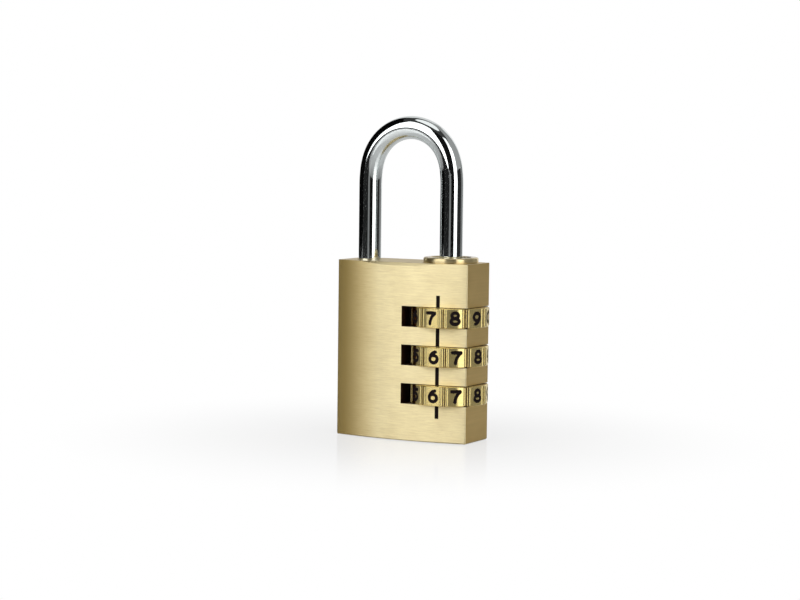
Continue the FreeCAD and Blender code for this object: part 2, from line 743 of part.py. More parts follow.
def make_spring_pin():
    head = doc.addObject("Part::Cylinder", "pin_head")
    bind(head, "Radius", size["pin_head_radius"])
    bind(head, "Height", size["pin_head_height"])
    stem = doc.addObject("Part::Cylinder", "pin_stem")
    bind(stem, "Radius", size["pin_radius"])
    bind(stem, "Height", size["pin_length"])
    pin = doc.addObject("Part::Fuse", "spring_pin")
    pin.Label = pin.Name
    pin.Base = head
    pin.Tool = stem
    place(pin, axis_x, ZERO, size["bore_floor"])
    return pin


def make_pieces():
    pieces = [make_lock_body(), make_collar_nut(), make_shackle()]
    for number, (height, slack) in enumerate(zip(dial_heights, DIAL_SLACK), start=1):
        pieces.append(make_dial(number, height, slack))
        pieces.append(make_hub(number, height, slack))
        pieces += make_detent(number, height)
    for number, height in enumerate(dial_heights[:-1], start=1):
        pieces.append(make_spacer(number, height))
    pieces += [make_thrust_washer(), make_reset_spring(), make_spring_pin(), make_shackle_spring()]
    return pieces


def check_and_write(pieces):
    doc.recompute()
    for item in doc.Objects:
        if "Invalid" in item.State or "Error" in item.State:
            raise RuntimeError(f"{item.Name} failed: {item.State}")
    for piece in pieces:
        if piece.Shape.isNull() or not piece.Shape.isValid() or piece.Shape.Volume <= 0:
            raise RuntimeError(f"{piece.Label} has no valid solid")
    os.makedirs("parts", exist_ok=True)
    for piece in pieces:
        piece.Shape.exportStep(f"parts/{piece.Label}.step")
        box = piece.Shape.BoundBox
        print(f"{piece.Label}: {len(piece.Shape.Solids)} solid, {piece.Shape.Volume:.2f} mm3, "
              f"z {box.ZMin:.2f} to {box.ZMax:.2f}")


check_and_write(make_pieces())
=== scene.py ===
import json
import math

import bpy
from mathutils import Matrix, Vector


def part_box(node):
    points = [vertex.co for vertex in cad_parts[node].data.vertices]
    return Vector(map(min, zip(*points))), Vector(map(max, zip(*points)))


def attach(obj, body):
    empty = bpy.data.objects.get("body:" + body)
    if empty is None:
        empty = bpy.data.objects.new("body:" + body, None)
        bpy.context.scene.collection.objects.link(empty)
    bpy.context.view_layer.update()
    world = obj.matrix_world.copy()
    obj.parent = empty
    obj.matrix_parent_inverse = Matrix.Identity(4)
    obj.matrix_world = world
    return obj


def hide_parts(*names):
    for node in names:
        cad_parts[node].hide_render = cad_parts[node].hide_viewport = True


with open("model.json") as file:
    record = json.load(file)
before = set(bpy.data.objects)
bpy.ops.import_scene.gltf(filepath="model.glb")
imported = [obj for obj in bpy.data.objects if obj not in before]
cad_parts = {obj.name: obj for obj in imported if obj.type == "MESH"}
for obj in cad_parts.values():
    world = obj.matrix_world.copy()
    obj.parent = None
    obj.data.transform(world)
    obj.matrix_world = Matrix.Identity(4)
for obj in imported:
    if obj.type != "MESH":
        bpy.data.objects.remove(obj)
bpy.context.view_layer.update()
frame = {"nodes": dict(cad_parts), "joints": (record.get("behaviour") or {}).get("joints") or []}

# Sizes are in metres, and the driving ones are written in millimetres times MM.
MM = 0.001

# How far a cutter reaches past what it cuts.
MARGIN = 1.0 * MM
# Points closer than this are merged.
MERGED = 0.0001 * MM
# Places closer than this are the same.
SAME = 0.001 * MM
# A face looks along an axis if its normal has at least this much of it.
FACING = 0.9
# Edges that turn by more than the first are broken, and by more than the second shaded as sharp.
BROKEN_ANGLE = math.radians(35)
SHARP_ANGLE = math.radians(30)
# Flat sides that small and large round cutters have.
SMALL_SIDES = 48
LARGE_SIDES = 96

# The block.
SIDE_DEPTH = 9.8 * MM
CROWN_STRIPS = 720
SAW_STRIPS = 360
CORNER_ROUND = 0.35 * MM
BOTTOM_CHAMFER = 0.2 * MM
BEVEL_LINE = 5.8 * MM
BEVEL_SLOPE = 1.0
CORNER_STEPS = 6
EDGE_BREAK = 0.06 * MM
SLOT_HEIGHT = 4.15 * MM
SLOT_END = 0.35 * MM
SLOT_SAW_RADIUS = 40.0 * MM
CORE_RADIUS = 4.3 * MM
BORE_FLOOR = 1.8 * MM
TOE_HOLE_DEPTH = 6.2 * MM
DETENT_HOLE_RADIUS = 1.25 * MM
DETENT_HOLE_DEPTH = 6.0 * MM
INDEX_WIDTH = 0.8 * MM
INDEX_PLACE = 8.86 * MM
INDEX_LOW = 4.9 * MM
INDEX_HIGH = 29.8 * MM
INDEX_DEPTH = 0.25 * MM

# The shackle.
LEG_CLEARANCE = 0.08 * MM
LEG_END_CHAMFER = 0.6 * MM
TOE_DEPTH = 5.5 * MM
BAR_SIDES = 64
BOW_STEPS = 72
# How a leg leads into the bow: arcs as the turn, and the radius as a share of half the bow's span.
BOW_LEADS = ((math.radians(8), 2.4), (math.radians(10), 1.3))
LUG_DROP = 2.745 * MM
LUG_SIZE = (3.2 * MM, 1.8 * MM, 1.6 * MM)
SPRING_HOLE_RADIUS = 1.45 * MM
SPRING_HOLE_DEPTH = 13.0 * MM

# The collar nut.
NUT_RADIUS = 4.67 * MM
NUT_CHAMBER = 3.5 * MM
NUT_GUIDE = 4.9 * MM
COLLAR_CHAMFER = 0.25 * MM
COLLAR_MOUTH = 0.25 * MM
COLLAR_SIDES = 128
DISH_RADIUS = 4.2 * MM
DISH_DEPTH = 0.28 * MM
DISH_LEAN = 0.1 * MM
NUT_BORE_GAP = 0.03 * MM

# The dials.
DIGITS = 10
DIGIT_STEP = math.tau / DIGITS
DIAL_RADIUS = 7.95 * MM
DIAL_HEIGHT = 3.95 * MM
DIAL_STEPS = 360
RIM_CHAMFER = 0.22 * MM
RIB_HEIGHT = 0.12 * MM
# The ribs between two fields: the place of the middle, and the half width.
RIBS = ((-0.62 * MM, 0.3 * MM), (0, 0.13 * MM), (0.62 * MM, 0.3 * MM))
GROOVE_WIDTH = 0.17 * MM
GROOVE_DEPTH = 0.2 * MM
GROOVE_PITCH = 0.45 * MM
DIGIT_HEIGHT = 3.05 * MM
DIGIT_WIDTH = 2.66 * MM
STROKE_RADIUS = 0.45 * MM
STROKE_DEPTH = 0.2 * MM
# A stroke's round end, as angles from its full width to its tip.
STROKE_END = (math.radians(30), math.radians(60), math.radians(85))
# A stroke whose ends are closer than this share of a digit's height is a closed ring.
CLOSED_GAP = 0.001
# Digit at the index line, and the turn off the click, in degrees towards the right side.
DIAL_SETTINGS = {"dial_1": (7, -2.6), "dial_2": (6, 1.5), "dial_3": (6, 1.3)}
# The digits are stamped a little to the right of the middles of their fields.
DIGIT_TURN = math.radians(1.2)

block_low, block_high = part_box("lock_body")
shackle_low, shackle_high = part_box("shackle")
nut_low, nut_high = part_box("collar_nut")
joint_places = {joint["child"]: joint.get("pos_m") for joint in frame["joints"]}
dial_centres = {name: Vector(joint_places[name]) for name in DIAL_SETTINGS}
leg_x = dial_centres["dial_1"].x
bar_radius = shackle_high.y
toe_x = shackle_low.x + bar_radius


# Small steps that every piece is made with.

def take(piece):
    """Selects one object alone and makes it active."""
    bpy.ops.object.select_all(action="DESELECT")
    piece.select_set(True)
    bpy.context.view_layer.objects.active = piece


def name_new(name):
    """Names the object that an operator has just added, and puts its place into its mesh."""
    piece = bpy.context.active_object
    piece.name = name
    piece.data.name = name
    take(piece)
    bpy.ops.object.transform_apply(location=True, rotation=True, scale=True)
    return piece


def add_box(name, low, high):
    low, high = Vector(low), Vector(high)
    bpy.ops.object.select_all(action="DESELECT")
    bpy.ops.mesh.primitive_cube_add(size=1, location=(low + high) / 2)
    bpy.context.active_object.scale = high - low
    return name_new(name)


def add_round(name, radius, start, end, sides=64):
    """A cylinder from one point to another."""
    start, end = Vector(start), Vector(end)
    along = end - start
    bpy.ops.object.select_all(action="DESELECT")
    bpy.ops.mesh.primitive_cylinder_add(
        vertices=sides, radius=radius, depth=along.length, location=(start + end) / 2,
        rotation=along.to_track_quat("Z", "Y").to_euler())
    return name_new(name)


def cut(piece, cutters, operation="DIFFERENCE", leaves_paint=False):
    """Cuts, joins or trims a piece by others, which are used up.

    Painted cutters can leave their paint."""
    kept = bpy.data.collections.new("cutters")
    for cutter in cutters:
        kept.objects.link(cutter)
    take(piece)
    modifier = piece.modifiers.new("cut", "BOOLEAN")
    modifier.solver = "EXACT"
    modifier.material_mode = "TRANSFER" if leaves_paint else "INDEX"
    modifier.operation = operation
    modifier.operand_type = "COLLECTION"
    modifier.collection = kept
    bpy.ops.object.modifier_apply(modifier=modifier.name)
    for cutter in cutters:
        bpy.data.objects.remove(cutter)
    bpy.data.collections.remove(kept)


def pick_edges(piece, test):
    """Goes to edit mode with just the edges selected whose two ends pass the test together."""
    take(piece)
    bpy.ops.object.mode_set(mode="EDIT")
    bpy.ops.mesh.select_mode(type="EDGE")
    bpy.ops.mesh.select_all(action="DESELECT")
    bpy.ops.object.mode_set(mode="OBJECT")
    corners = piece.data.vertices
    for edge in piece.data.edges:
        first, second = (corners[index].co for index in edge.vertices)
        edge.select = test(first, second)
    bpy.ops.object.mode_set(mode="EDIT")


def bevel_picked(piece, width, segments):
    bpy.ops.mesh.bevel(offset=width, segments=segments, affect="EDGES")
    bpy.ops.object.mode_set(mode="OBJECT")


def break_edges(piece, width):
    """A narrow bevel on every edge that is still sharp."""
    take(piece)
    modifier = piece.modifiers.new("edge_break", "BEVEL")
    modifier.limit_method = "ANGLE"
    modifier.angle_limit = BROKEN_ANGLE
    modifier.width = width
    modifier.segments = 2
    modifier.use_clamp_overlap = False
    bpy.ops.object.modifier_apply(modifier=modifier.name)


def smooth(piece):
    """Smooth shading up to an angle, in which the large faces stay true."""
    take(piece)
    bpy.ops.object.shade_smooth_by_angle(angle=SHARP_ANGLE)
    modifier = piece.modifiers.new("true_faces", "WEIGHTED_NORMAL")
    modifier.keep_sharp = True
    bpy.ops.object.modifier_apply(modifier=modifier.name)


def close_up(piece):
    """Merges the doubled points of a piece and turns its faces outwards."""
    take(piece)
    bpy.ops.object.mode_set(mode="EDIT")
    bpy.ops.mesh.select_all(action="SELECT")
    bpy.ops.mesh.remove_doubles(threshold=MERGED)
    bpy.ops.mesh.normals_make_consistent(inside=False)
    bpy.ops.object.mode_set(mode="OBJECT")


def turn_profile(name, profile, centre, sides):
    """A turned ring: a circle extruded and resized from point to point, and closed to itself.

    The profile is a closed list of (radius, height), and the axis is upright through the centre."""
    first_radius, first_height = profile[0]
    bpy.ops.object.select_all(action="DESELECT")
    bpy.ops.mesh.primitive_circle_add(
        vertices=sides, radius=first_radius, location=(centre.x, centre.y, first_height))
    piece = name_new(name)
    bpy.ops.object.mode_set(mode="EDIT")
    bpy.ops.mesh.select_all(action="SELECT")
    for (radius, height), (next_radius, next_height) in zip(profile, profile[1:]):
        bpy.ops.mesh.extrude_edges_move(
            TRANSFORM_OT_translate={"value": (0, 0, next_height - height)})
        share = next_radius / radius
        bpy.ops.transform.resize(
            value=(share, share, 1), center_override=(centre.x, centre.y, next_height))
    bpy.ops.mesh.select_all(action="DESELECT")
    bpy.ops.mesh.select_non_manifold(extend=False)
    bpy.ops.mesh.bridge_edge_loops()
    bpy.ops.object.mode_set(mode="OBJECT")
    close_up(piece)
    return piece


# The block.

def crowned_prism():
    """A box trimmed by two wide cylinders, whose round sides are the crowned front and back."""
    prism = add_box("lock_body_brass", block_low, block_high)
    bulge = block_high.y - SIDE_DEPTH / 2
    crown_radius = (bulge ** 2 + block_high.x ** 2) / (2 * bulge)
    for side in (-1, 1):
        axis_y = side * (block_high.y - crown_radius)
        roller = add_round("roller", crown_radius, (0, axis_y, block_low.z - MARGIN),
                           (0, axis_y, block_high.z + MARGIN), CROWN_STRIPS)
        cut(prism, [roller], "INTERSECT")
    return prism


def slope_top(prism):
    """Bisects the top to the bevels over the middle of the bulging front and back."""
    for side in (-1, 1):
        bpy.ops.object.mode_set(mode="EDIT")
        bpy.ops.mesh.select_all(action="SELECT")
        bpy.ops.mesh.bisect(
            plane_co=(0, side * BEVEL_LINE, block_high.z), plane_no=(0, side * BEVEL_SLOPE, 1),
            use_fill=True, clear_outer=True)
        bpy.ops.object.mode_set(mode="OBJECT")


def is_upright_corner(first, second):
    at_side = all(abs(abs(point.x) - block_high.x) < SAME for point in (first, second))
    return at_side and abs(first.z - second.z) > MARGIN


def is_bottom_edge(first, second):
    return max(abs(first.z), abs(second.z)) < SAME


def slot_cutters(finish):
    """Open to the right side, with the hollow end that a slotting saw leaves."""
    slots = []
    for centre in dial_centres.values():
        floor, ceiling = centre.z - SLOT_HEIGHT / 2, centre.z + SLOT_HEIGHT / 2
        slot = add_box("slot", (SLOT_END - MARGIN, -block_high.y - MARGIN, floor),
                       (block_high.x + MARGIN, block_high.y + MARGIN, ceiling))
        saw_x = SLOT_END + SLOT_SAW_RADIUS
        saw = add_round("saw", SLOT_SAW_RADIUS, (saw_x, 0, floor - MARGIN),
                        (saw_x, 0, ceiling + MARGIN), SAW_STRIPS)
        cut(slot, [saw], "INTERSECT")
        # The slot's walls take the painted shade.
        slot.data.materials.append(finish)
        slots.append(slot)
    return slots


def bore_cutters():
    above = block_high.z + MARGIN
    core = add_round("core", CORE_RADIUS, (leg_x, 0, BORE_FLOOR), (leg_x, 0, above), LARGE_SIDES)
    nut = add_round("nut", NUT_RADIUS + NUT_BORE_GAP, (leg_x, 0, nut_low.z), (leg_x, 0, above),
                    LARGE_SIDES)
    toe = add_round("toe", bar_radius + LEG_CLEARANCE, (toe_x, 0, block_high.z - TOE_HOLE_DEPTH),
                    (toe_x, 0, above))
    detents = [add_round("detent", DETENT_HOLE_RADIUS, (SLOT_END - DETENT_HOLE_DEPTH, 0, centre.z),
                         (SLOT_END + MARGIN, 0, centre.z), 32) for centre in dial_centres.values()]
    return [core, nut, toe] + detents


def index_cutter(paint):
    bulge_lost = (block_high.y - SIDE_DEPTH / 2) * (INDEX_PLACE / block_high.x) ** 2
    floor_y = -(block_high.y - bulge_lost - INDEX_DEPTH)
    groove = add_box("index", (INDEX_PLACE - INDEX_WIDTH / 2, -block_high.y - MARGIN, INDEX_LOW),
                     (INDEX_PLACE + INDEX_WIDTH / 2, floor_y, INDEX_HIGH))
    groove.data.materials.append(paint)
    return groove


def face_finish(piece, slot_number, test):
    """Puts faces of the main finish into another one, where their normals pass a test."""
    for face in piece.data.polygons:
        if face.material_index == 0 and test(face.normal):
            face.material_index = slot_number


def make_block(brushed, milled_and_shaded, top_milled_and_shaded, slot_shade, paint):
    block = crowned_prism()
    slope_top(block)
    pick_edges(block, is_upright_corner)
    bevel_picked(block, CORNER_ROUND, CORNER_STEPS)
    pick_edges(block, is_bottom_edge)
    bevel_picked(block, BOTTOM_CHAMFER, 1)
    for finish in (brushed, milled_and_shaded, top_milled_and_shaded):
        block.data.materials.append(finish)
    cut(block, bore_cutters())
    # The sides take the milled brass, whose browner colour is painted shade.
    face_finish(block, 1, lambda normal: abs(normal.x) > FACING)
    # The top takes its own brass, whose darker colour is painted shade.
    face_finish(block, 2, lambda normal: abs(normal.z) > FACING)
    # The slots leave painted shade on their walls.
    cut(block, slot_cutters(slot_shade), leaves_paint=True)
    break_edges(block, EDGE_BREAK)
    cut(block, [index_cutter(paint)], leaves_paint=True)
    close_up(block)
    smooth(block)
    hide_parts("lock_body")
    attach(block, "block")


# The collar nut.

def make_collar_nut(brass, faced):
    hole = bar_radius + LEG_CLEARANCE
    top = block_high.z
    rim = (nut_high.x - nut_low.x) / 2
    ceiling = top - NUT_GUIDE
    dish = nut_high.z - DISH_DEPTH
    profile = [
        (hole, ceiling), (hole, dish - COLLAR_MOUTH), (hole + COLLAR_MOUTH, dish),
        (DISH_RADIUS - DISH_LEAN, dish), (DISH_RADIUS, nut_high.z),
        (rim - COLLAR_CHAMFER, nut_high.z), (rim, nut_high.z - COLLAR_CHAMFER), (rim, top),
        (NUT_RADIUS, top), (NUT_RADIUS, nut_low.z),
        (NUT_CHAMBER, nut_low.z), (NUT_CHAMBER, ceiling),
    ]
    nut = turn_profile("collar_nut_brass", profile, Vector((leg_x, 0, 0)), COLLAR_SIDES)
    break_edges(nut, EDGE_BREAK)
    smooth(nut)
    nut.data.materials.append(brass)
    nut.data.materials.append(faced)
    face_finish(nut, 1, lambda normal: normal.z > FACING)
    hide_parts("collar_nut")
    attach(nut, "block")


# The shackle.

def bow_arcs(half_span):
    """The bow's arcs from leg to leg as (turn, radius), and the height that half of them climb."""
    leads = [(turn, share * half_span) for turn, share in BOW_LEADS]
    turned, across, climbed = 0, 0, 0
    for turn, radius in leads:
        across += radius * (math.cos(turned) - math.cos(turned + turn))
        climbed += radius * (math.sin(turned + turn) - math.sin(turned))
        turned += turn
    top_radius = (half_span - across) / math.cos(turned)
    climbed += top_radius * (1 - math.sin(turned))
    return leads + [(math.pi - 2 * turned, top_radius)] + leads[::-1], climbed


def bend_bar():
    """A disc drawn up the short leg, spun over the arcs of the bow and drawn down the long leg."""
    arcs, climb = bow_arcs((leg_x - toe_x) / 2)
    bow_z = shackle_high.z - bar_radius - climb
    toe_z = block_high.z - TOE_DEPTH
    bpy.ops.object.select_all(action="DESELECT")
    bpy.ops.mesh.primitive_circle_add(
        vertices=BAR_SIDES, radius=bar_radius, fill_type="NGON", location=(toe_x, 0, toe_z))
    bar = name_new("shackle_bar")
    bpy.ops.object.mode_set(mode="EDIT")
    bpy.ops.mesh.select_all(action="SELECT")
    bpy.ops.mesh.extrude_region_move(TRANSFORM_OT_translate={"value": (0, 0, bow_z - toe_z)})
    place, heading = Vector((toe_x, 0, bow_z)), 0
    for turn, radius in arcs:
        centre = place + radius * Vector((math.cos(heading), 0, -math.sin(heading)))
        heading += turn
        place = centre - radius * Vector((math.cos(heading), 0, -math.sin(heading)))
        bpy.ops.mesh.spin(steps=round(BOW_STEPS * turn / math.pi), angle=turn, center=centre,
                          axis=(0, -1, 0))
    bpy.ops.mesh.extrude_region_move(
        TRANSFORM_OT_translate={"value": (0, 0, shackle_low.z - bow_z)})
    bpy.ops.object.mode_set(mode="OBJECT")
    close_up(bar)
    return bar


def is_leg_end(first, second):
    ends = (block_high.z - TOE_DEPTH, shackle_low.z)
    return any(max(abs(first.z - end), abs(second.z - end)) < SAME for end in ends)


def lug_pieces():
    reach, width, height = LUG_SIZE
    lugs = []
    for centre in dial_centres.values():
        middle = centre.z - LUG_DROP
        lug = add_box("lug", (leg_x - reach, -width / 2, middle - height / 2),
                      (leg_x, width / 2, middle + height / 2))
        rounding = add_round("rounding", reach, (leg_x, 0, middle - height),
                             (leg_x, 0, middle + height), LARGE_SIDES)
        cut(lug, [rounding], "INTERSECT")
        lugs.append(lug)
    return lugs


def make_shackle(chrome):
    bar = bend_bar()
    pick_edges(bar, is_leg_end)
    bevel_picked(bar, LEG_END_CHAMFER, 1)
    cut(bar, lug_pieces(), "UNION")
    hole_top = shackle_low.z + SPRING_HOLE_DEPTH
    cut(bar, [add_round("spring_hole", SPRING_HOLE_RADIUS, (leg_x, 0, shackle_low.z - MARGIN),
                        (leg_x, 0, hole_top), SMALL_SIDES)])
    smooth(bar)
    bar.data.materials.append(chrome)
    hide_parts("shackle")
    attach(bar, "shackle")


# The dials. A dial is made once about the upright axis through the origin, with a number field
# towards +X, and copied to its three places.

def arc_points(centre, half_width, half_height, start, end, steps=18):
    """Points along an ellipse, from one angle to another, in degrees."""
    turns = [math.radians(start + (end - start) * step / steps) for step in range(steps + 1)]
    return [(centre[0] + half_width * math.cos(turn), centre[1] + half_height * math.sin(turn))
            for turn in turns]


def digit_strokes(digit):
    """The strokes of a plain digit in a frame from -0.5 to 0.5 both ways, as lists of points."""
    lower_bowl = arc_points((0, -0.15), 0.46, 0.35, 0, 360, 28)
    tail = arc_points((0.38, -0.15), 0.84, 0.68, 180, 100)
    upper_bowl = [(-x, -y) for x, y in lower_bowl]
    upper_tail = [(-x, -y) for x, y in tail]
    strokes = {
        0: [arc_points((0, 0), 0.47, 0.5, 0, 360, 32)],
        1: [[(-0.3, 0.26), (0.06, 0.5)], [(0.06, 0.5), (0.06, -0.5)]],
        2: [arc_points((0, 0.2), 0.45, 0.3, 170, -38) + [(-0.46, -0.5)],
            [(-0.46, -0.5), (0.48, -0.5)]],
        3: [arc_points((-0.02, 0.25), 0.42, 0.25, 150, -90),
            arc_points((-0.02, -0.25), 0.48, 0.25, 90, -150)],
        4: [[(0.2, 0.5), (-0.48, -0.2)], [(-0.48, -0.2), (0.5, -0.2)], [(0.2, 0.5), (0.2, -0.5)]],
        5: [[(0.42, 0.5), (-0.34, 0.5)], [(-0.34, 0.5), (-0.42, 0.04)],
            arc_points((-0.02, -0.17), 0.46, 0.33, 140, -150)],
        6: [lower_bowl, tail],
        7: [[(-0.56, 0.5), (0.42, 0.5)], arc_points((0.92, -0.62), 1.12, 1.2, 117, 174)],
        8: [arc_points((0, 0.3), 0.38, 0.27, 0, 360, 26),
            arc_points((0, -0.235), 0.47, 0.265, 0, 360, 28)],
        9: [upper_bowl, upper_tail],
    }
    return strokes[digit]


def stroke_cutter(points, angle, paint):
    """A round-ended tube along a stroke, wrapped round the dial at its number field's angle."""
    floor = DIAL_RADIUS - RIB_HEIGHT
    ring = floor - STROKE_DEPTH + STROKE_RADIUS
    across = (DIGIT_WIDTH - 2 * STROKE_RADIUS) / floor
    along = DIGIT_HEIGHT - 2 * STROKE_RADIUS
    closed = math.dist(points[0], points[-1]) < CLOSED_GAP
    places = [(angle + x * across, z * along) for x, z in (points[:-1] if closed else points)]
    spots = [Vector((ring * math.cos(turn), ring * math.sin(turn), z)) for turn, z in places]
    sizes = [1.0] * len(spots)
    if not closed:
        caps = [(math.sin(lean), math.cos(lean)) for lean in STROKE_END]
        first_way = (spots[0] - spots[1]).normalized() * STROKE_RADIUS
        last_way = (spots[-1] - spots[-2]).normalized() * STROKE_RADIUS
        head = [spots[0] + first_way * reach for reach, _ in reversed(caps)]
        foot = [spots[-1] + last_way * reach for reach, _ in caps]
        spots = head + spots + foot
        sizes = [size for _, size in reversed(caps)] + sizes + [size for _, size in caps]
    path = bpy.data.curves.new("stroke", "CURVE")
    path.dimensions = "3D"
    path.bevel_depth = STROKE_RADIUS
    path.bevel_resolution = 2
    path.use_fill_caps = True
    spline = path.splines.new("POLY")
    spline.points.add(len(spots) - 1)
    for point, spot, size in zip(spline.points, spots, sizes):
        point.co = (*spot, 1)
        point.radius = size
    spline.use_cyclic_u = closed
    cutter = bpy.data.objects.new("stroke", path)
    bpy.context.scene.collection.objects.link(cutter)
    take(cutter)
    bpy.ops.object.convert(target="MESH")
    cutter = bpy.context.active_object
    close_up(cutter)
    cutter.data.materials.clear()
    cutter.data.materials.append(paint)
    return cutter


def dial_rib(angle, half_width):
    """A long domed rib, from the fields' level up to the full radius."""
    radius = (RIB_HEIGHT ** 2 + half_width ** 2) / (2 * RIB_HEIGHT)
    reach = DIAL_RADIUS - radius
    rib = add_round("rib", radius, (reach, 0, -DIAL_HEIGHT), (reach, 0, DIAL_HEIGHT), SMALL_SIDES)
    rib.data.transform(Matrix.Rotation(angle, 4, "Z"))
    return rib


def groove_cutter(angle, recess_shade):
    groove = add_box("groove", (DIAL_RADIUS - GROOVE_DEPTH, -GROOVE_WIDTH / 2, -DIAL_HEIGHT),
                     (DIAL_RADIUS + MARGIN, GROOVE_WIDTH / 2, DIAL_HEIGHT))
    groove.data.transform(Matrix.Rotation(angle, 4, "Z"))
    # The groove's faces take the painted shade.
    groove.data.materials.append(recess_shade)
    return groove


def turned_blank():
    """The ring as it comes off the lathe, with its two rims chamfered."""
    half = DIAL_HEIGHT / 2
    wide = DIAL_RADIUS + MARGIN
    profile = [
        (CORE_RADIUS, -half), (DIAL_RADIUS - RIM_CHAMFER, -half),
        (wide, -half + RIM_CHAMFER + MARGIN), (wide, half - RIM_CHAMFER - MARGIN),
        (DIAL_RADIUS - RIM_CHAMFER, half), (CORE_RADIUS, half),
    ]
    return turn_profile("blank", profile, Vector((0, 0, 0)), DIAL_STEPS)


def dial_master(brass, recess_shade, paint):
    """A round bar gets its ribs and the grooves between them, and the ring is cut from it.

    The digits come last."""
    over = DIAL_HEIGHT / 2 + MARGIN
    master = add_round("dial_master", DIAL_RADIUS - RIB_HEIGHT, (0, 0, -over), (0, 0, over),
                       DIAL_STEPS)
    master.data.materials.append(brass)
    lands = [DIGIT_STEP * (digit + 0.5) for digit in range(DIGITS)]
    cut(master, [dial_rib(land + place / DIAL_RADIUS, half_width)
                 for land in lands for place, half_width in RIBS], "UNION")
    half_pitch = GROOVE_PITCH / 2 / DIAL_RADIUS
    # The grooves are lined with painted shade.
    cut(master, [groove_cutter(land + side * half_pitch, recess_shade)
                 for land in lands for side in (-1, 1)], leaves_paint=True)
    cut(master, [turned_blank()], "INTERSECT")
    cut(master, [stroke_cutter(points, DIGIT_STEP * digit + DIGIT_TURN, paint)
                 for digit in range(DIGITS) for points in digit_strokes(digit)], leaves_paint=True)
    close_up(master)
    smooth(master)
    return master


def make_dials(brass, recess_shade, paint):
    master = dial_master(brass, recess_shade, paint)
    for name, (digit, slack) in DIAL_SETTINGS.items():
        ring = bpy.data.objects.new(f"{name}_ring", master.data.copy())
        bpy.context.scene.collection.objects.link(ring)
        turn = -math.pi / 2 - DIGIT_STEP * digit + math.radians(slack)
        ring.data.transform(Matrix.Translation(dial_centres[name]) @ Matrix.Rotation(turn, 4, "Z"))
        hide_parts(name)
        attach(ring, name)
    bpy.data.objects.remove(master)


# Finishes. A place on a piece is read in metres, so a spacing of 0.1 mm is a scale of 10000.

# How fast the pattern runs round a turned piece, in metres for each radian.
TURNED_ARC = 0.4 * MM
# Scale of the broad streaks against that of the fine lines.
STREAK_SHARE = 0.28
# The clouds' share of a brass colour, of which the streaks have the rest.
CLOUD_SHARE = 0.35
# Where the specks of the noise start, and where they are full.
SPECK_START = 0.66
SPECK_FULL = 0.74


def new_group(name, inputs, outputs):
    """An empty node group; each input is (name, kind, value) and each output is (name, kind)."""
    group = bpy.data.node_groups.new(name, "ShaderNodeTree")
    for socket, kind, value in inputs:
        made = group.interface.new_socket(socket, in_out="INPUT", socket_type=f"NodeSocket{kind}")
        if value is not None:
            made.default_value = value
    for socket, kind in outputs:
        group.interface.new_socket(socket, in_out="OUTPUT", socket_type=f"NodeSocket{kind}")
    return group, group.nodes.new("NodeGroupInput"), group.nodes.new("NodeGroupOutput")


def fill_inputs(tree, node, values):
    """Gives a node's inputs their values, or links them to other nodes' sockets."""
    for socket, value in values.items():
        if isinstance(value, bpy.types.NodeSocket):
            tree.links.new(value, node.inputs[socket])
        else:
            node.inputs[socket].default_value = value
    return node


def add_node(tree, kind, values=None, **settings):
    """A node with its settings, and the values or sockets that its inputs take."""
    node = tree.nodes.new(f"ShaderNode{kind}")
    for setting, value in settings.items():
        setattr(node, setting, value)
    return fill_inputs(tree, node, values or {})


def tool_lines_group():
    """Fine lines that a brush, a mill or a lathe leaves: noise drawn out along the lines."""
    group, given, result = new_group(
        "tool_lines",
        [("Place", "Vector", None), ("Squeeze", "Vector", (1, 1, 1)), ("Spacing", "Float", 8000.0)],
        [("Lines", "Float"), ("Streaks", "Float")])
    drawn = add_node(group, "VectorMath", {0: given.outputs["Place"], 1: given.outputs["Squeeze"]},
                     operation="MULTIPLY")
    spacing = given.outputs["Spacing"]
    fine = add_node(group, "TexNoise", {"Vector": drawn.outputs[0], "Scale": spacing,
                                        "Detail": 2.0, "Roughness": 0.6})
    wider = add_node(group, "Math", {0: spacing, 1: STREAK_SHARE}, operation="MULTIPLY")
    coarse = add_node(group, "TexNoise", {"Vector": drawn.outputs[0], "Scale": wider.outputs[0],
                                          "Detail": 3.0, "Roughness": 0.7})
    group.links.new(fine.outputs[0], result.inputs["Lines"])
    group.links.new(coarse.outputs[0], result.inputs["Streaks"])
    return group


def handling_group():
    """Soft cloudy patches, as handling and oxidation leave them, and sparse small specks."""
    group, given, result = new_group(
        "handling",
        [("Place", "Vector", None), ("Patches", "Float", 220.0), ("Specks", "Float", 2600.0)],
        [("Cloud", "Float"), ("Speck", "Float")])
    place = given.outputs["Place"]
    cloud = add_node(group, "TexNoise", {"Vector": place, "Scale": given.outputs["Patches"],
                                         "Detail": 4.0, "Roughness": 0.55})
    speck = add_node(group, "TexNoise", {"Vector": place, "Scale": given.outputs["Specks"],
                                         "Detail": 1.0})
    kept = add_node(
        group, "MapRange",
        {"Value": speck.outputs[0], "From Min": SPECK_START, "From Max": SPECK_FULL},
        interpolation_type="SMOOTHSTEP")
    group.links.new(cloud.outputs[0], result.inputs["Cloud"])
    group.links.new(kept.outputs[0], result.inputs["Speck"])
    return group


